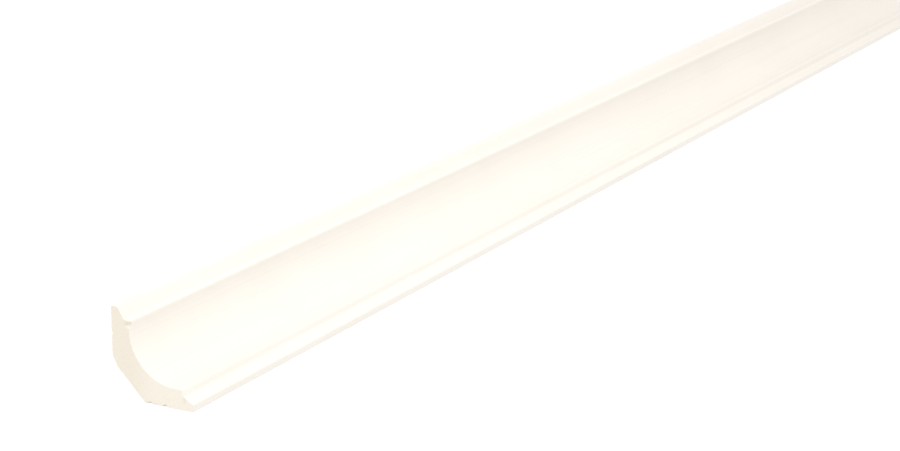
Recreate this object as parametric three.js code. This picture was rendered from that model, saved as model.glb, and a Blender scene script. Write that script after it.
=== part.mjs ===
// Cove moulding: one straight length of a white extruded cove, cut square at both ends.
// It is set as in an inside corner, with the wall behind it and the floor below it.
// Millimetres, +Z up. X runs along the moulding, the wall is the plane y = 0 and the
// moulding stands on its -Y side. The origin is at the middle of the face on the wall.

import * as THREE from 'three';

// Driving dimensions
const LENGTH = 1000;
const LEG = 36.5; // from the corner of wall and floor to the tip of either leg
const BACK_CHAMFER = 14.7; // cut off that corner, along each leg
const BACK_EASE = 2.2; // taken off the chamfer's upper arris, up the wall and out from it
const COVE_RADIUS = 20.3;
const COVE_CENTRE = 28.3; // from the wall and from the floor
const COVE_STOP = 31.35; // where the cove ends in an arris, measured along the leg
const LIP_EDGE = 2.95; // blunt edge at the tip of a leg
const LIP_WIDTH = 4.4; // bevel of the lip, along the leg
const LIP_RISE = 2.6; // what the lip gains in thickness over that width

// Fineness of the cove's arc and the finish
const CURVE_SEGMENTS = 24;
const WARM_WHITE = 0xf4eee0;
const SATIN = 0.55;

// The wall face starts this far above the floor, over the chamfer and its eased arris.
const WALL_FACE_FOOT = BACK_CHAMFER + BACK_EASE;

// The section has x out from the wall and y up from the floor. The lips are alike, so the
// wall leg's lip is the floor leg's with its two coordinates changed over.
function coveSection() {
  const floorLip = [
    [LEG, 0],
    [LEG, LIP_EDGE],
    [LEG - LIP_WIDTH, LIP_EDGE + LIP_RISE],
  ];
  const wallLip = floorLip.map(([out, up]) => [up, out]).reverse();

  // The arc runs past its lowest and its innermost point by the same angle, to the arrises.
  const overrun = Math.asin((COVE_STOP - COVE_CENTRE) / COVE_RADIUS);
  const lowArris = -Math.PI / 2 + overrun;
  const highArris = -Math.PI - overrun;

  const section = new THREE.Shape();
  section.moveTo(BACK_CHAMFER, 0);
  floorLip.forEach((point) => section.lineTo(...point));
  section.absarc(COVE_CENTRE, COVE_CENTRE, COVE_RADIUS, lowArris, highArris, true);
  wallLip.forEach((point) => section.lineTo(...point));
  section.lineTo(0, WALL_FACE_FOOT);
  section.lineTo(BACK_EASE, BACK_CHAMFER - BACK_EASE);
  section.closePath();
  return section;
}

// One length of the moulding, extruded from the section and turned so that it runs along X.
function coveMoulding() {
  const geometry = new THREE.ExtrudeGeometry(coveSection(), {
    depth: LENGTH,
    bevelEnabled: false,
    curveSegments: CURVE_SEGMENTS,
  });
  const material = new THREE.MeshStandardMaterial({
    color: WARM_WHITE,
    roughness: SATIN,
    metalness: 0,
  });
  const mesh = new THREE.Mesh(geometry, material);
  mesh.name = 'cove_moulding';

  const outFromWall = new THREE.Vector3(0, -1, 0);
  const up = new THREE.Vector3(0, 0, 1);
  const along = new THREE.Vector3().crossVectors(outFromWall, up);
  mesh.setRotationFromMatrix(new THREE.Matrix4().makeBasis(outFromWall, up, along));

  const wallFaceMiddle = (WALL_FACE_FOOT + LEG) / 2;
  mesh.position.set(LENGTH / 2, 0, -wallFaceMiddle);
  return mesh;
}

const moulding = new THREE.Group();
moulding.add(coveMoulding());

export default moulding;
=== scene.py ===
# %% [markdown]
# # A length of white cove moulding
# The real thing is a straight strip of trim for an inside corner, extruded in a white foamed
# plastic and sawn off square. The imported solid is loaded first, at its real size and place.
# Everything below is built to its box.

import bpy
import numpy as np
from mathutils import Matrix, Vector


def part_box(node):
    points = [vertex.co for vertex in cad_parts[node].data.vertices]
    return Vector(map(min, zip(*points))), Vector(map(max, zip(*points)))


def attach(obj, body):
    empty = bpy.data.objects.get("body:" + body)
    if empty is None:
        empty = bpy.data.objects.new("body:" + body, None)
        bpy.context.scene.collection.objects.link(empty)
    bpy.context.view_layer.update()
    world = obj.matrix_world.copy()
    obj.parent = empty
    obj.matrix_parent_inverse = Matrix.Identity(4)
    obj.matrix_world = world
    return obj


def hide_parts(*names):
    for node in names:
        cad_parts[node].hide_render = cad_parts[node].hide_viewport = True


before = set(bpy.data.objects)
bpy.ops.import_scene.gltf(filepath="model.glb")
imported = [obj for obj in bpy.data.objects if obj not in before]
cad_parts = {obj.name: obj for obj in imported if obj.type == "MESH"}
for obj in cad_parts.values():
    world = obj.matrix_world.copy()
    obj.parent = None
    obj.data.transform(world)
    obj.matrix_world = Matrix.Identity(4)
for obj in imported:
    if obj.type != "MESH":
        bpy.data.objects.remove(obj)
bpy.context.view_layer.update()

MM = 0.001
low_corner, high_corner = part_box("cove_moulding")
length = (high_corner.x - low_corner.x) / MM
leg = (high_corner.z - low_corner.z) / MM
print(f"moulding {length:.0f} mm long, legs of {leg:.1f} mm")

# %% [markdown]
# ## Where the camera stands
# The photograph looks along the strip from its near end, from a little above and with a long
# lens. A camera could be aimed by eye, but a strip seen end-on shows every error in its angles.
# So the viewpoint is given by measured angles, and by its offset from one fixed point: where the
# wall meets the floor, at the near end.

# %% Camera
AZIMUTH = np.radians(-62.18)
ELEVATION = np.radians(15.80)
ROLL = np.radians(0.48)
FROM_NEAR_CORNER = Vector((-682.8, -505.2, 306.7)) * MM
IMAGE_WIDTH = 900
FOCAL_LENGTH = 2329  # in pixels of that image
SENSOR_WIDTH = 36.0
NEAREST_SEEN = 0.01
FARTHEST_SEEN = 200.0

forward = Vector((
    -np.sin(AZIMUTH) * np.cos(ELEVATION),
    np.cos(AZIMUTH) * np.cos(ELEVATION),
    -np.sin(ELEVATION),
))
level_right = Vector((np.cos(AZIMUTH), np.sin(AZIMUTH), 0))
level_up = level_right.cross(forward)
right = level_right * np.cos(ROLL) + level_up * np.sin(ROLL)
up = right.cross(forward)
near_corner = Vector((low_corner.x, high_corner.y, low_corner.z))

camera = bpy.data.objects.new("camera", bpy.data.cameras.new("camera"))
camera.data.sensor_width = SENSOR_WIDTH
camera.data.lens = SENSOR_WIDTH * FOCAL_LENGTH / IMAGE_WIDTH
camera.data.clip_start = NEAREST_SEEN
camera.data.clip_end = FARTHEST_SEEN
turn = Matrix((right, up, -forward)).transposed()
camera.matrix_world = Matrix.Translation(near_corner + FROM_NEAR_CORNER) @ turn.to_4x4()
bpy.context.scene.collection.objects.link(camera)
bpy.context.scene.camera = camera
print(f"lens {camera.data.lens:.1f} mm, camera at {tuple(round(v, 3) for v in camera.location)}")

# %% [markdown]
# ## The section
# An extruded strip is known by its section: two flat legs, a chamfer across the back so that it
# clears a rough corner, a hollow quarter circle in front, and a thin bevelled lip at each tip.
# It could be traced as a long list of points, but a maker's drawing has only a few sizes.
# The outline is worked out from those in millimetres, as complex numbers: out from the wall is the
# real part and up from the floor the imaginary part. Adding, turning and measuring are then one
# step each.

# %% Sharp outline
BACK_CHAMFER = 14.7
BACK_EASE = 2.2
COVE_RADIUS = 20.3
COVE_CENTRE = 28.3
COVE_STOP = 31.35
LIP_EDGE = 2.95
LIP_WIDTH = 4.4
LIP_RISE = 2.6
COVE_POINTS = 300


def sharp_outline():
    """The section in millimetres as four stretches, anticlockwise from the foot of the floor
    leg's tip: floor lip, cove, wall lip and back. The cove is centre + radius (cos t + i sin t),
    past a quarter turn by the same angle at both ends. The wall leg's lip is the floor leg's,
    with its two coordinates changed over."""
    floor_lip = np.array([leg, leg + 1j * LIP_EDGE, leg - LIP_WIDTH + 1j * (LIP_EDGE + LIP_RISE)])
    wall_lip = (floor_lip.imag + 1j * floor_lip.real)[::-1]
    overrun = np.arcsin((COVE_STOP - COVE_CENTRE) / COVE_RADIUS)
    angle = np.linspace(1.5 * np.pi + overrun, np.pi - overrun, COVE_POINTS)
    cove = COVE_CENTRE * (1 + 1j) + COVE_RADIUS * np.exp(1j * angle)
    foot_of_wall_face = 1j * (BACK_CHAMFER + BACK_EASE)
    eased = BACK_EASE + 1j * (BACK_CHAMFER - BACK_EASE)
    back = np.array([foot_of_wall_face, eased, BACK_CHAMFER, leg])
    return floor_lip, cove, wall_lip, back


outline_stretches = sharp_outline()
corners = np.concatenate(outline_stretches)
travelled = np.concatenate([[0], np.cumsum(np.abs(np.diff(corners)))])
girth = travelled[-1]
cove_start, wall_lip_start, back_start = np.cumsum([len(part) for part in outline_stretches])[:-1]
low_arris = travelled[cove_start]
high_arris = travelled[wall_lip_start - 1]
wall_tip = travelled[back_start - 1]
print(f"girth {girth:.1f} mm, with the cove from {low_arris:.1f} to {high_arris:.1f} mm round it")

# %% [markdown]
# ## Softened arrises
# No extruded edge is a knife edge: the plastic draws back a little as it cools, and hands rub it.
# A Bevel modifier would round each corner by the same arc. Here the outline is blurred along its
# own length by a bell curve instead, which takes the most off the sharpest corners, leaves flats
# and the cove where they are, and shows by how much each point moved. The two arrises that end
# the cove look rounder than the tips in the photograph, so the outline goes over to a wider blur
# there. How far each point moved is kept: it is positive on an arris and negative in an inner
# corner, and the finish uses it later.

# %% Blur the outline
BLUR = 0.26
COVE_ARRIS_BLUR = 0.6
COVE_ARRIS_REACH = 2.0
FINE_STEP = 0.02

fine_count = int(girth / FINE_STEP)
fine = np.linspace(0, girth, fine_count, endpoint=False)
sharp = np.interp(fine, travelled, corners.real) + 1j * np.interp(fine, travelled, corners.imag)


def blurred(outline, spread):
    """A closed outline blurred by a bell curve: it is taken apart into waves, each is multiplied by
    exp(-(k spread)^2 / 2), where k is its number of radians per millimetre, and they are added up
    again."""
    k = 2 * np.pi * np.fft.fftfreq(len(outline), girth / len(outline))
    return np.fft.ifft(np.fft.fft(outline) * np.exp(-0.5 * (k * spread) ** 2))


from_low_arris = (fine - low_arris) / COVE_ARRIS_REACH
from_high_arris = (fine - high_arris) / COVE_ARRIS_REACH
by_cove_arris = np.exp(-from_low_arris ** 2) + np.exp(-from_high_arris ** 2)
soft = (1 - by_cove_arris) * blurred(sharp, BLUR) + by_cove_arris * blurred(sharp, COVE_ARRIS_BLUR)
run = np.roll(soft, -1) - np.roll(soft, 1)
outward_fine = -1j * run / np.abs(run)
taken_off = ((sharp - soft) * outward_fine.conjugate()).real
print(f"arrises lose up to {taken_off.max():.2f} mm, inner corners gain {-taken_off.min():.2f} mm")

# %% [markdown]
# ## A ring of points
# The mesh needs the same ring of points at every place along the strip. The ring has four
# stretches: the blunt edge of one tip, the front, the other blunt edge and the back. Opposite
# stretches get the same number of points, so that a sawn end can later be one plain grid.

# %% Ring
TIP_STEPS = 24
FACE_STEPS = 216

front_start = LIP_EDGE
front_end = wall_tip - LIP_EDGE
stretches = [
    np.linspace(0, front_start, TIP_STEPS, endpoint=False),
    np.linspace(front_start, front_end, FACE_STEPS, endpoint=False),
    np.linspace(front_end, wall_tip, TIP_STEPS, endpoint=False),
    np.linspace(wall_tip, girth, FACE_STEPS, endpoint=False),
]
at = np.concatenate(stretches)


def around(values):
    """Values known all round the fine outline, read off at the ring's points."""
    return np.interp(at, fine, values, period=girth)


ring = around(soft.real) + 1j * around(soft.imag)
outward = around(outward_fine.real) + 1j * around(outward_fine.imag)
outward /= np.abs(outward)
ring_taken_off = around(taken_off)
ring_count = len(ring)
print(f"ring of {ring_count} points")

# %% [markdown]
# ## Along the strip
# The long faces are one surface of two parameters, the place along the strip and the place round
# the ring. A straight strip needs few steps in its middle, but the sawn ends carry small detail,
# so the steps there are a quarter of a millimetre. Right at each end the arris is rounded by a
# quarter circle whose radius changes along the edge, as a saw and a sanding block leave it.

# %% Long faces
SAWN_ARRIS = 0.14
SAWN_ARRIS_CHANGE = 0.5  # share by which that radius changes along the edge
ARRIS_STEPS = 5
DETAIL_REACH = 4.0
DETAIL_STEP = 0.25
PLAIN_START = 48.0
PLAIN_STEP = 12.0
SPREADING_STEPS = 14
WAVES = np.array([9, 14, 23, 37, 52])  # ripples of the worn edge round the whole ring
SEED = 7

draws = np.random.default_rng(SEED)
phases = draws.uniform(0, 2 * np.pi, len(WAVES))
turns = 2 * np.pi * at / girth
ripple = np.sin(np.outer(turns, WAVES) + phases).mean(axis=1)
worn_radius = SAWN_ARRIS * (1 + SAWN_ARRIS_CHANGE * ripple / np.abs(ripple).max())

quarter = np.linspace(0, np.pi / 2, ARRIS_STEPS, endpoint=False)[:, None]
arris_along = worn_radius * (1 - np.cos(quarter))
arris_inset = worn_radius * (1 - np.sin(quarter))
detailed = np.arange(2 * SAWN_ARRIS, DETAIL_REACH, DETAIL_STEP)
spreading = np.geomspace(DETAIL_REACH, PLAIN_START, SPREADING_STEPS)
middle = np.linspace(PLAIN_START, length / 2, int((length / 2 - PLAIN_START) / PLAIN_STEP))[1:]
plain = np.concatenate([detailed, spreading, middle])[:, None] * np.ones(ring_count)
half_along = np.vstack([arris_along, plain])
half_inset = np.vstack([arris_inset, np.zeros_like(plain)])

along = np.vstack([half_along, length - half_along[-2::-1]])
inset = np.vstack([half_inset, half_inset[-2::-1]])
section = ring - inset * outward
long_faces = np.stack([along, section.real, section.imag], axis=-1)
station_count = len(long_faces)
print(f"{station_count} stations, {station_count * ring_count} points on the long faces")

# %% [markdown]
# ## The sawn ends
# An end could be filled as one many-sided face, but then it could carry no saw marks. It is made
# as a grid between the front and the back stretch of the last ring instead, as a blended patch:
# the two ways of ruling straight lines across it are added, and what both of them count, the
# straight-sided patch through the four corners, is taken away once. Its edge points are the
# ring's own, so the solid stays closed with no doubled points.

# %% End patches
steps_across = np.linspace(0, 1, TIP_STEPS + 1)
steps_round = np.linspace(0, 1, FACE_STEPS + 1)
patch_index = np.zeros((FACE_STEPS + 1, TIP_STEPS + 1), int)
patch_index[:, 0] = TIP_STEPS + np.arange(FACE_STEPS + 1)
patch_index[:, -1] = (ring_count - np.arange(FACE_STEPS + 1)) % ring_count
patch_index[0, :] = TIP_STEPS - np.arange(TIP_STEPS + 1)
patch_index[-1, :] = TIP_STEPS + FACE_STEPS + np.arange(TIP_STEPS + 1)


def blended_patch(edge):
    """Points inside a closed ring: those ruled from front to back, plus those ruled from tip to
    tip, minus those of the four-cornered patch that both of them hold."""
    u = steps_round[:, None, None]
    v = steps_across[None, :, None]
    front, back = edge[patch_index[:, 0]][:, None], edge[patch_index[:, -1]][:, None]
    first, last = edge[patch_index[0]][None], edge[patch_index[-1]][None]
    four = (1 - u) * ((1 - v) * first[:, :1] + v * first[:, -1:])
    four = four + u * ((1 - v) * last[:, :1] + v * last[:, -1:])
    whole = (1 - v) * front + v * back + (1 - u) * first + u * last - four
    return whole[1:-1, 1:-1].reshape(-1, 3)


near_patch = blended_patch(long_faces[0])
far_patch = blended_patch(long_faces[-1])
points = np.vstack([long_faces.reshape(-1, 3), near_patch, far_patch])
print(f"{len(near_patch)} points inside each sawn end")

# %% [markdown]
# ## Saw marks
# A circular saw leaves shallow arcs about its own axle. They could be bump alone, but then the
# mesh would be dead flat when it is used somewhere else. The broad ones go into the mesh: each
# point near an end is pushed in by a sine of its distance from the axle.

# %% Saw marks
SAW_AXLE = -61.5 + 118.5j  # in the section's plane, above and behind the strip
SAW_PITCH = 2.3
SAW_DEPTH = 0.05
SAW_REACH = 0.4
WANDER = 0.8  # how far the arcs stray, in radians of their own wave
WANDER_OUT = 3.7
WANDER_UP = 5.1

from_axle = np.abs(points[:, 1] + 1j * points[:, 2] - SAW_AXLE)
wander = WANDER * (np.sin(points[:, 1] / WANDER_OUT) + np.sin(points[:, 2] / WANDER_UP))
saw_mark = 0.5 + 0.5 * np.sin(2 * np.pi * from_axle / SAW_PITCH + wander)
from_near_end = points[:, 0].copy()
from_far_end = length - from_near_end
points[:, 0] += SAW_DEPTH * saw_mark * np.exp(-(from_near_end / SAW_REACH) ** 2)
points[:, 0] -= SAW_DEPTH * saw_mark * np.exp(-(from_far_end / SAW_REACH) ** 2)
print(f"saw arcs of {from_axle.min():.0f} to {from_axle.max():.0f} mm radius on both ends")

# %% [markdown]
# ## Nicks at the near end
# The end in the photograph has been knocked: chips along the bottom edge, a notch in the back,
# a scoop out of the arris under the upper lip and a bruise by the lower one. They could be cut
# with booleans, but each is only a millimetre or two. A chip breaks away along a shallow bowl, so
# every point that lies outside a nick's bowl is moved straight back on to it. Which points moved
# and how far is kept, to tell the finish where raw foam shows and where it is dirty and painted
# darker as shade.

# %% Nicks
# Each has its place and its reach, as (along, out, up) in millimetres, the way out of the solid
# there, the depth of its bowl and its grime with painted shade.
NICKS = {
    "chip beside the chamfer": ((0, 16.7, 0), (1.5, 1.7, 1.2), (-0.6, 0, -0.8), 0.75, 0.60),
    "small chip next to it": ((0, 19.5, 0), (1.1, 1.5, 0.9), (-0.6, 0, -0.8), 0.45, 0.45),
    "chip of the bottom edge": ((0, 23.7, 0), (1.4, 1.3, 1.3), (-0.6, 0, -0.8), 0.80, 0.80),
    "notch in the back": ((0, 0, 25.4), (1.2, 1.0, 1.2), (-0.5, -0.87, 0), 0.40, 0.0),
    "scoop under the upper lip": ((0, 7.6, 30.0), (4.5, 3.5, 1.4), (-0.68, 0.70, 0.10), 1.2, 0.0),
    "bruise by the lower lip": ((0, 32.5, 4.0), (1.0, 1.2, 1.8), (-1, 0, 0), 0.20, 0.08),
}
RAGGED = 0.18
RAGGED_WAVES = np.array([5.2, 4.1, 3.3])  # along, out and up, in radians a millimetre
# The nicks' darkening is grime and painted shade together. It is full from this share of the depth.
FULL_GRIME_AND_SHADE = 2 / 3  # the share of a nick's depth from which its grime is at its full strength


def outside_bowl(places, centre, reach, way_out, depth):
    """How far points lie outside a nick's bowl, along its way out. The bowl is depth deep at its
    centre and comes up by the square of the distance across, counted in reaches. Sines of that
    distance make it uneven."""
    offset = places - centre
    height = offset @ way_out
    across = offset - height[:, None] * way_out
    along_wave, out_wave, up_wave = (across * RAGGED_WAVES).T
    uneven = np.cos(out_wave) * np.sin(up_wave + along_wave)
    bowl = depth * (1 + RAGGED * uneven) * (1 - np.sum((across / reach) ** 2, axis=1))
    return np.maximum(height + bowl, 0)


chipped = np.zeros(len(points), bool)
grime_and_shade = np.zeros(len(points))
for name, (centre, reach, direction, depth, grime_and_shade_share) in NICKS.items():
    way_out = np.array(direction) / np.linalg.norm(direction)
    excess = outside_bowl(points, np.array(centre), np.array(reach), way_out, depth)
    points -= excess[:, None] * way_out
    chipped |= excess > 0
    grime_and_shade = np.maximum(grime_and_shade, grime_and_shade_share * np.minimum(excess / (FULL_GRIME_AND_SHADE * depth), 1))
    print(f"{name}: {np.count_nonzero(excess)} points moved, by up to {excess.max():.2f} mm")

# %% [markdown]
# ## Faces
# The points of both surfaces are numbered in one list, so the faces are only index arithmetic:
# each square joins a point to the next one along and the next one round. The order of the four
# corners decides which side is outside, so the far end takes its corners the other way round.
# Raw foam shows on both sawn ends, and where all four corners of a square lie in a nick.

# %% Faces
numbers = np.arange(station_count * ring_count).reshape(station_count, ring_count)
ahead = np.roll(numbers, -1, axis=1)
long_quads = np.stack([numbers[:-1], numbers[1:], ahead[1:], ahead[:-1]], axis=-1).reshape(-1, 4)


def patch_quads(first_ring_number, first_inner_number):
    """Squares of one sawn end, from the numbers of its ring and of its inner points."""
    grid = patch_index + first_ring_number
    inner = grid[1:-1, 1:-1]
    inner[...] = first_inner_number + np.arange(inner.size).reshape(inner.shape)
    return np.stack([grid[:-1, :-1], grid[1:, :-1], grid[1:, 1:], grid[:-1, 1:]], -1).reshape(-1, 4)


near_quads = patch_quads(0, numbers.size)
far_quads = patch_quads(numbers[-1, 0], numbers.size + len(near_patch))[:, ::-1]
quads = np.vstack([long_quads, near_quads, far_quads])
is_raw = chipped[quads].all(axis=1)
is_raw[len(long_quads):] = True
print(f"{len(quads)} squares, which are {2 * len(quads)} triangles, {is_raw.sum()} squares of raw foam")

# %% [markdown]
# ## Into a Blender mesh
# The section's millimetres become the frame's metres: along is +X from the near end, out is -Y
# from the wall and up is +Z from the floor. Blender can smooth the shading by itself, but then a
# narrow rounded arris bends the light on the flats beside it. So each point's normal is the mean of
# its faces' normals by area, and the flats stay flat right up to their arrises.

# %% Mesh
CUBIC_CM = (10 * MM) ** 3

place = np.stack([
    low_corner.x + points[:, 0] * MM,
    high_corner.y - points[:, 1] * MM,
    low_corner.z + points[:, 2] * MM,
], axis=-1)

mesh = bpy.data.meshes.new("cove")
mesh.from_pydata(place, [], quads)
mesh.polygons.foreach_set("material_index", is_raw.astype(np.int32))
mesh.shade_smooth()
face_corners = place[quads]
diagonals = face_corners[:, 2:] - face_corners[:, :2]
face_normals = np.cross(diagonals[:, 0], diagonals[:, 1])
point_normals = np.zeros_like(place)
np.add.at(point_normals, quads, face_normals[:, None])
point_normals /= np.linalg.norm(point_normals, axis=1, keepdims=True)
mesh.normals_split_custom_set_from_vertices(point_normals)

moulding = bpy.data.objects.new("cove_moulding_skin", mesh)
bpy.context.scene.collection.objects.link(moulding)
# A face and the origin make a pyramid, a third of base by height. The normals are twice the base.
volume = np.sum(face_corners.mean(axis=1) * face_normals) / (3 * 2)
print(f"closed volume {volume / CUBIC_CM:.1f} cm3, positive when faces point outwards")

# %% [markdown]
# ## Numbers on the points
# Wear, dirt and painted shade follow the shape: arrises are rubbed, inner corners are made a little
# darker, and chips gather grime with painted shade. A shader can look for edges by itself, but only
# in one of Blender's render engines. The shape is already known here, so three numbers ride on the
# points for the finish: how much of an arris each one is, how deep in an inner corner it lies, and
# its grime with painted shade.

# %% Numbers on the points
inner_zeros = np.zeros(len(near_patch) + len(far_patch))
corner_sign = np.concatenate([np.tile(ring_taken_off, station_count), inner_zeros])
point_numbers = {
    "arris": np.clip(corner_sign / corner_sign.max(), 0, 1),
    "inner_corner": np.clip(corner_sign / corner_sign.min(), 0, 1),
    "grime_and_shade": grime_and_shade,
}
for name, values in point_numbers.items():
    mesh.attributes.new(name, "FLOAT", "POINT").data.foreach_set("value", values.astype(np.float32))
    print(f"{name}: on {np.count_nonzero(values)} points, up to {values.max():.2f}")

# %% [markdown]
# ## A flat map
# The finishes below need no map, because their patterns are worked out in space. A model that goes
# elsewhere carries its finish as pictures, though, and each corner of each face then needs a place
# on them. Blender can unfold a mesh by itself, but it gives the sawn ends few pixels, because they
# are small. Here the long faces are rolled out as one rectangle, with more room for the last few
# millimetres at both ends, where saw and knocks left their marks. The two sawn ends lie above it,
# enlarged.

# %% Map
MAP_NAME = "OFBake"  # pictures are baked through a map of this name
MAP_MARGIN = 0.01
ROLLED_OUT_HEIGHT = 0.58
ROOM_BY_STATION = 0.5  # share of the length that the stations divide evenly, not the millimetres
END_SIDE = 0.37
NEAR_END_PLACE = np.array([0.06, 0.61])
FAR_END_PLACE = np.array([0.56, 0.61])

by_station = np.linspace(0, 1, station_count)
by_length = along[:, 0] / length
across_map = ROOM_BY_STATION * by_station + (1 - ROOM_BY_STATION) * by_length
across_map = MAP_MARGIN + (1 - 2 * MAP_MARGIN) * across_map
up_map = MAP_MARGIN + ROLLED_OUT_HEIGHT * np.append(at, girth) / girth
rolled_out = np.stack(np.meshgrid(across_map, up_map, indexing="ij"), axis=-1)
here, onward = rolled_out[:-1], rolled_out[1:]
long_map = np.stack([here[:, :-1], onward[:, :-1], onward[:, 1:], here[:, 1:]], axis=-2)
unchipped = np.vstack([long_faces.reshape(-1, 3), near_patch, far_patch])[:, 1:] / leg
corner_places = np.concatenate([
    long_map.reshape(-1, 4, 2),
    NEAR_END_PLACE + END_SIDE * unchipped[near_quads],
    FAR_END_PLACE + END_SIDE * unchipped[far_quads],
])
flat_map = mesh.uv_layers.new(name=MAP_NAME)
flat_map.uv.foreach_set("vector", corner_places.astype(np.float32).ravel())
print(f"map of {len(flat_map.uv)} corners, with the ends {END_SIDE * length / leg:.0f} times enlarged")

# %% [markdown]
# ## Helpers for the finishes
# Colours are written as they look on a screen, in hex, and shaders count light, so one function
# turns the first into the second. Another adds a node, sets it up and links it, whatever its kind.
# A third starts a finish, with the shader and the coordinates that each one needs.

# %% Colour and node helpers
def linear(hex_colour):
    """sRGB hex to linear light: c / 12.92 below 0.04045, else ((c + 0.055) / 1.055) ^ 2.4."""
    srgb = np.array([int(hex_colour[i:i + 2], 16) for i in (1, 3, 5)]) / 255
    light = np.where(srgb <= 0.04045, srgb / 12.92, ((srgb + 0.055) / 1.055) ** 2.4)
    return (*light.tolist(), 1.0)


def add_node(tree, kind, settings=None, inputs=None):
    """Adds a node. An input is a plain value, or another node's output, which is linked."""
    node = tree.nodes.new(kind)
    for name, value in (settings or {}).items():
        setattr(node, name, value)
    for name, value in (inputs or {}).items():
        if isinstance(value, bpy.types.NodeSocket):
            tree.links.new(value, node.inputs[name])
        else:
            node.inputs[name].default_value = value
    return node


def new_finish(name, ior):
    """A new material, its node tree, its shader, and the place in space that its patterns read."""
    finish = bpy.data.materials.new(name)
    finish.use_nodes = True
    nodes_of_finish = finish.node_tree
    surface = nodes_of_finish.nodes["Principled BSDF"]
    surface.inputs["IOR"].default_value = ior
    coordinates = add_node(nodes_of_finish, "ShaderNodeTexCoord")
    return finish, nodes_of_finish, surface, coordinates.outputs["Object"]


COLOUR_MIX = {"data_type": "RGBA"}
MIX_A, MIX_B, MIXED = 6, 7, 2  # a colour mix has its two colours and its result at these sockets
print("helpers ready")

# %% [markdown]
# ## Finish of the long faces: extruded foamed PVC
# Foamed rigid PVC comes out of a heated die with a thin closed skin. To the eye that is a warm
# white with a satin sheen, very fine straight lines drawn along it by the die, slow cloudy
# changes of tone, and a slight peel that ripples what it mirrors. It could be one plain colour,
# but then the strip looks like a drawing of itself. Three noises make these patterns, each on
# Object coordinates at its own real size, and the one for the lines is stretched along X.

# %% Skin patterns
DIE_LINE = 1.3 * MM  # real ones are near 0.3 mm, too fine to show, so they are drawn coarser
DIE_LINE_RUN = 450 * MM
CLOUD = 55 * MM
SKIN_PEEL = 5 * MM
SKIN_IOR = 1.53

skin, tree, shader, where = new_finish("extruded_foam_pvc_skin", SKIN_IOR)
drawn = add_node(tree, "ShaderNodeMapping", inputs={
    "Vector": where,
    "Scale": (1 / DIE_LINE_RUN, 1 / DIE_LINE, 1 / DIE_LINE),
})
lines = add_node(tree, "ShaderNodeTexNoise", inputs={
    "Vector": drawn.outputs["Vector"],
    "Scale": 1.0,
    "Detail": 3.0,
    "Roughness": 0.6,
})
clouds = add_node(tree, "ShaderNodeTexNoise", inputs={
    "Vector": where,
    "Scale": 1 / CLOUD,
    "Detail": 3.0,
})
peel = add_node(tree, "ShaderNodeTexNoise", inputs={
    "Vector": where,
    "Scale": 1 / SKIN_PEEL,
    "Detail": 2.0,
})
print(f"{skin.name}: lines {DIE_LINE / MM:.1f} mm apart, clouds of {CLOUD / MM:.0f} mm")

# %% [markdown]
# ## Colour of the skin
# White plastic is never one white. The clouds go between two warm whites, the strongest of the
# die's lines are a shade darker, and the inner corners are made a little darker. That could be
# painted by hand, but the number that rides on the points already knows those corners.

# %% Skin colour
WARM_WHITE = linear("#EEE9E1")
CLOUDED_WHITE = linear("#E9E2D8")
DRAWN_LINE = linear("#E2D8C9")
# the inner corners go a little darker towards this colour
CORNER_DARKER = linear("#D1C6B2")
LINES_FROM = 0.52  # the noise makes a line above this, at its strongest from the next
LINES_TO = 0.80
LINE_SHARE = 0.3
CORNER_DARKER_SHARE = 0.1

cloudy = add_node(tree, "ShaderNodeMix", COLOUR_MIX, {
    "Factor": clouds.outputs["Fac"],
    MIX_A: WARM_WHITE,
    MIX_B: CLOUDED_WHITE,
})
line_strength = add_node(tree, "ShaderNodeMapRange", inputs={
    "Value": lines.outputs["Fac"],
    "From Min": LINES_FROM,
    "From Max": LINES_TO,
    "To Max": LINE_SHARE,
})
lined = add_node(tree, "ShaderNodeMix", COLOUR_MIX, {
    "Factor": line_strength.outputs["Result"],
    MIX_A: cloudy.outputs[MIXED],
    MIX_B: DRAWN_LINE,
})
inner_corner = add_node(tree, "ShaderNodeAttribute", {"attribute_name": "inner_corner"})
corner_darkening = add_node(tree, "ShaderNodeMath", {"operation": "MULTIPLY"}, {
    0: inner_corner.outputs["Fac"],
    1: CORNER_DARKER_SHARE,
})
corner_darkened = add_node(tree, "ShaderNodeMix", COLOUR_MIX, {
    "Factor": corner_darkening.outputs["Value"],
    MIX_A: lined.outputs[MIXED],
    MIX_B: CORNER_DARKER,
})
tree.links.new(corner_darkened.outputs[MIXED], shader.inputs["Base Color"])
print(f"warm white, with lines up to {LINE_SHARE:.0%} and dust up to {CORNER_DARKER_SHARE:.0%}")

# %% [markdown]
# ## Gloss of the skin
# A die's lines change the sheen more than the colour. The same noise therefore sets roughness
# and bump as well, so that a line that looks darker is also the one that catches the light.
# Arrises are rubbed by hands and packing, which polishes them, so their roughness is lowered.

# %% Skin gloss
NOISE_LOW = 0.3  # the noise seldom goes below this or above the next
NOISE_HIGH = 0.7
SATIN_SMOOTHEST = 0.36
SATIN_ROUGHEST = 0.52
ARRIS_POLISH = 0.1
PEEL_HEIGHT = 0.05 * MM
PEEL_RELIEF = 0.5
LINE_HEIGHT = 0.04 * MM
LINE_RELIEF = 0.6

satin = add_node(tree, "ShaderNodeMapRange", inputs={
    "Value": lines.outputs["Fac"],
    "From Min": NOISE_LOW,
    "From Max": NOISE_HIGH,
    "To Min": SATIN_SMOOTHEST,
    "To Max": SATIN_ROUGHEST,
})
arris = add_node(tree, "ShaderNodeAttribute", {"attribute_name": "arris"})
rubbed = add_node(tree, "ShaderNodeMath", {"operation": "MULTIPLY_ADD"}, {
    0: arris.outputs["Fac"],
    1: -ARRIS_POLISH,
    2: satin.outputs["Result"],
})
tree.links.new(rubbed.outputs["Value"], shader.inputs["Roughness"])

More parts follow.
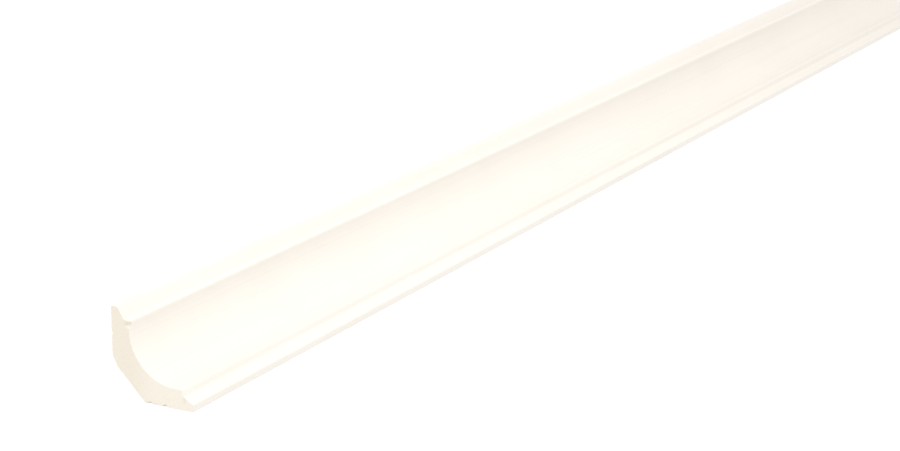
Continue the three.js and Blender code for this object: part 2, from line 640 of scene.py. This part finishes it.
peel_bump = add_node(tree, "ShaderNodeBump", inputs={
    "Height": peel.outputs["Fac"],
    "Distance": PEEL_HEIGHT,
    "Strength": PEEL_RELIEF,
})
line_bump = add_node(tree, "ShaderNodeBump", inputs={
    "Height": lines.outputs["Fac"],
    "Distance": LINE_HEIGHT,
    "Strength": LINE_RELIEF,
    "Normal": peel_bump.outputs["Normal"],
})
tree.links.new(line_bump.outputs["Normal"], shader.inputs["Normal"])
mesh.materials.append(skin)
print(f"{skin.name}: {len(tree.nodes)} nodes")

# %% [markdown]
# ## Finish of the ends: sawn foam core
# Under the skin the plastic is a fine foam. A saw opens its cells, so the end is matt, a shade
# creamier than the skin and a little mottled, with pinholes in clusters and the saw's arcs across
# it. The arcs are a wave texture of rings about the axle that the mesh's own saw marks use. The
# cells are a texture of packed cells, and a slower noise says where they cluster.

# %% Core patterns
CELL = 0.5 * MM  # real cells are 0.1 to 0.3 mm, too fine to show, so they are drawn coarser
CELL_CLUSTER = 3 * MM
CORE_MOTTLE = 4 * MM
SAW_SCRATCH = 1.15 * MM
RING_SCALE = np.pi / 10  # a wave texture of scale 1 has rings this far apart
CORE_IOR = 1.50

core, tree, shader, where = new_finish("sawn_foam_pvc_core", CORE_IOR)
axle_y = high_corner.y - SAW_AXLE.real * MM
axle_z = low_corner.z + SAW_AXLE.imag * MM
about_axle = add_node(tree, "ShaderNodeMapping", inputs={
    "Vector": where,
    "Location": (0, -axle_y, -axle_z),
})
scratches = add_node(tree, "ShaderNodeTexWave", {"wave_type": "RINGS", "rings_direction": "X"}, {
    "Vector": about_axle.outputs["Vector"],
    "Scale": RING_SCALE / SAW_SCRATCH,
    "Distortion": 2.5,
    "Detail": 2.0,
    "Detail Scale": 0.6,
})
cells = add_node(tree, "ShaderNodeTexVoronoi", inputs={
    "Vector": where,
    "Scale": 1 / CELL,
})
clusters = add_node(tree, "ShaderNodeTexNoise", inputs={
    "Vector": where,
    "Scale": 1 / CELL_CLUSTER,
    "Detail": 2.0,
})
mottle = add_node(tree, "ShaderNodeTexNoise", inputs={
    "Vector": where,
    "Scale": 1 / CORE_MOTTLE,
    "Detail": 5.0,
    "Roughness": 0.65,
})
print(f"{core.name}: scratches {SAW_SCRATCH / MM:.2f} mm apart, cells of {CELL / MM:.1f} mm")

# %% [markdown]
# ## Colour of the core
# The sawn end is painted paler in the floor leg than in the wall leg, as painted light.
# Two materials could say so, but they would meet in a line. So one colour goes over from one cream
# to another across the section, and the mottle breaks that up.

# %% Core colour
# the pale colour is the mottle's pale side and the painted light on the floor leg
CORE_PALE_MOTTLE_AND_PAINTED_LIGHT = linear("#F5EEE1")
CORE_CREAM = linear("#EEE5D5")
# where the painted light on the end begins, and where it is full
WALL_LEG_END = 8.5 * MM  # out from the wall, where the foam starts to turn paler
FLOOR_LEG_START = 19.5 * MM
PAINTED_LIGHT_SHARE = 0.75
MOTTLE_SHARE = 0.25

place_axes = add_node(tree, "ShaderNodeSeparateXYZ", inputs={"Vector": where})
# painted light: the end turns paler from the wall leg towards the floor leg
painted_light_ramp = add_node(tree, "ShaderNodeMapRange", {"interpolation_type": "SMOOTHSTEP"}, {
    "Value": place_axes.outputs["Y"],
    "From Min": high_corner.y - WALL_LEG_END,
    "From Max": high_corner.y - FLOOR_LEG_START,
    "To Min": 0.0,
    "To Max": PAINTED_LIGHT_SHARE,
})
mottle_and_painted_light = add_node(tree, "ShaderNodeMath", {"operation": "MULTIPLY_ADD", "use_clamp": True}, {
    0: mottle.outputs["Fac"],
    1: MOTTLE_SHARE,
    2: painted_light_ramp.outputs["Result"],
})
foam = add_node(tree, "ShaderNodeMix", COLOUR_MIX, {
    "Factor": mottle_and_painted_light.outputs["Value"],
    MIX_A: CORE_CREAM,
    MIX_B: CORE_PALE_MOTTLE_AND_PAINTED_LIGHT,
})
print(f"cream foam, paler by up to {PAINTED_LIGHT_SHARE:.0%} past {FLOOR_LEG_START / MM:.1f} mm from the wall")

# %% [markdown]
# ## Pinholes, and grime with painted shade
# A cell that the saw has opened is a small hole, darker because light is lost in it. Holes could be
# modelled, but they are finer than the mesh, so the middle of each cell is darkened where the
# slower noise is high. Grime with painted shade in the nicks lies over everything else, so it is
# mixed in last, by the number that rides on the points.

# %% Pinholes, and grime with painted shade
CELL_SHADE = linear("#D6C6AB")
# grime in the nicks, with painted shade under their broken edges
NICK_GRIME_AND_SHADE = linear("#8F7B5E")
PINHOLE_RIM = 0.30  # from the middle of a cell, as a share of its size
PINHOLE_MIDDLE = 0.10
CLUSTERS_FROM = 0.45  # the noise opens cells above this, and most from the next
CLUSTERS_TO = 0.75
PINHOLE_SHARE = 0.6

pinhole = add_node(tree, "ShaderNodeMapRange", inputs={
    "Value": cells.outputs["Distance"],
    "From Min": PINHOLE_RIM,
    "From Max": PINHOLE_MIDDLE,
})
clustered = add_node(tree, "ShaderNodeMapRange", inputs={
    "Value": clusters.outputs["Fac"],
    "From Min": CLUSTERS_FROM,
    "From Max": CLUSTERS_TO,
    "To Max": PINHOLE_SHARE,
})
opened = add_node(tree, "ShaderNodeMath", {"operation": "MULTIPLY"}, {
    0: pinhole.outputs["Result"],
    1: clustered.outputs["Result"],
})
holed = add_node(tree, "ShaderNodeMix", COLOUR_MIX, {
    "Factor": opened.outputs["Value"],
    MIX_A: foam.outputs[MIXED],
    MIX_B: CELL_SHADE,
})
# the nicks are painted darker: grime with painted shade
grime_and_shade_strength = add_node(tree, "ShaderNodeAttribute", {"attribute_name": "grime_and_shade"})
soiled = add_node(tree, "ShaderNodeMix", COLOUR_MIX, {
    "Factor": grime_and_shade_strength.outputs["Fac"],
    MIX_A: holed.outputs[MIXED],
    MIX_B: NICK_GRIME_AND_SHADE,
})
tree.links.new(soiled.outputs[MIXED], shader.inputs["Base Color"])
print(f"pinholes up to {PINHOLE_SHARE:.0%} shaded, grime up to {grime_and_shade.max():.0%}")

# %% [markdown]
# ## Touch of the core
# Sawn foam scatters light every way, so it is much rougher than the skin. Its tooth is a bump
# from the mottle, and the saw's fine scratches are a second bump on top, between the broad arcs
# that the mesh already has.

# %% Core touch
SAWN_SMOOTHEST = 0.70
SAWN_ROUGHEST = 0.85
FOAM_HEIGHT = 0.15 * MM
FOAM_RELIEF = 0.4
SCRATCH_HEIGHT = 0.05 * MM
SCRATCH_RELIEF = 0.6

matt = add_node(tree, "ShaderNodeMapRange", inputs={
    "Value": scratches.outputs["Fac"],
    "To Min": SAWN_SMOOTHEST,
    "To Max": SAWN_ROUGHEST,
})
tree.links.new(matt.outputs["Result"], shader.inputs["Roughness"])

foam_bump = add_node(tree, "ShaderNodeBump", inputs={
    "Height": mottle.outputs["Fac"],
    "Distance": FOAM_HEIGHT,
    "Strength": FOAM_RELIEF,
})
scratch_bump = add_node(tree, "ShaderNodeBump", inputs={
    "Height": scratches.outputs["Fac"],
    "Distance": SCRATCH_HEIGHT,
    "Strength": SCRATCH_RELIEF,
    "Normal": foam_bump.outputs["Normal"],
})
tree.links.new(scratch_bump.outputs["Normal"], shader.inputs["Normal"])
mesh.materials.append(core)
print(f"{core.name}: {len(tree.nodes)} nodes")

# %% [markdown]
# ## Floor
# The photograph is a high-key one: white on white, with almost no shadow. A floor that only
# reflects goes grey beside the strip, so this one glows like a light table's sheet of opal
# acrylic. Its own colour is a dark grey under the glow, so that shadows hardly show on it.

# %% Floor
FLOOR_HALF = 25.0
FLOOR_GAP = 0.05 * MM
UNLIT_ACRYLIC = linear("#505050")
ACRYLIC_ROUGHNESS = 0.9
WHITE_LIGHT = linear("#FFFFFF")
FLOOR_GLOW = 0.95

floor_mesh = bpy.data.meshes.new("studio_floor")
floor_corners = np.array([(-1, -1), (1, -1), (1, 1), (-1, 1)]) * FLOOR_HALF
floor_level = np.full((4, 1), low_corner.z - FLOOR_GAP)
floor_mesh.from_pydata(np.hstack([floor_corners, floor_level]), [], [(0, 1, 2, 3)])
floor = bpy.data.objects.new("studio_floor", floor_mesh)
bpy.context.scene.collection.objects.link(floor)

light_table = bpy.data.materials.new("lit_opal_acrylic")
light_table.use_nodes = True
table_shader = light_table.node_tree.nodes["Principled BSDF"]
table_shader.inputs["Base Color"].default_value = UNLIT_ACRYLIC
table_shader.inputs["Roughness"].default_value = ACRYLIC_ROUGHNESS
table_shader.inputs["Specular IOR Level"].default_value = 0.0
table_shader.inputs["Emission Color"].default_value = WHITE_LIGHT
table_shader.inputs["Emission Strength"].default_value = FLOOR_GLOW
floor_mesh.materials.append(light_table)
print(f"floor {FLOOR_GAP / MM:.2f} mm under the moulding")

# %% [markdown]
# ## Light
# In the photograph the part of the cove that looks up is the brightest, the part under the upper
# lip is the darkest, and the far end falls off. A sun would light the far end as much as the near
# one. So a white sky fills every side, and one soft box stands above the near end and in front of
# it, close enough that its light is weaker at the far end. The sky is as white as the floor, so
# that no horizon shows from any side.

# %% Light
SKY = 1.0
BOX_PLACE = Vector((0.05, -0.30, 0.85))  # this and the next are metres from the near corner
BOX_AIM = Vector((0.10, 0, 0))
BOX_SIZE = 0.7
BOX_POWER = 3.3

scene = bpy.context.scene
scene.view_settings.view_transform = "Standard"
world = bpy.data.worlds.new("studio")
world.use_nodes = True
background = world.node_tree.nodes["Background"]
background.inputs["Color"].default_value = WHITE_LIGHT
background.inputs["Strength"].default_value = SKY
scene.world = world

soft_box = bpy.data.objects.new("soft_box", bpy.data.lights.new("soft_box", "AREA"))
soft_box.data.size = BOX_SIZE
soft_box.data.energy = BOX_POWER
soft_box.location = near_corner + BOX_PLACE
soft_box.rotation_euler = (BOX_AIM - BOX_PLACE).to_track_quat("-Z", "Y").to_euler()
soft_box.visible_camera = False
scene.collection.objects.link(soft_box)
print(f"sky {SKY}, soft box {BOX_POWER} W")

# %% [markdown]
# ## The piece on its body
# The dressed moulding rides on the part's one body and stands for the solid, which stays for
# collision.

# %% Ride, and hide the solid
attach(moulding, "root")
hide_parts("cove_moulding")
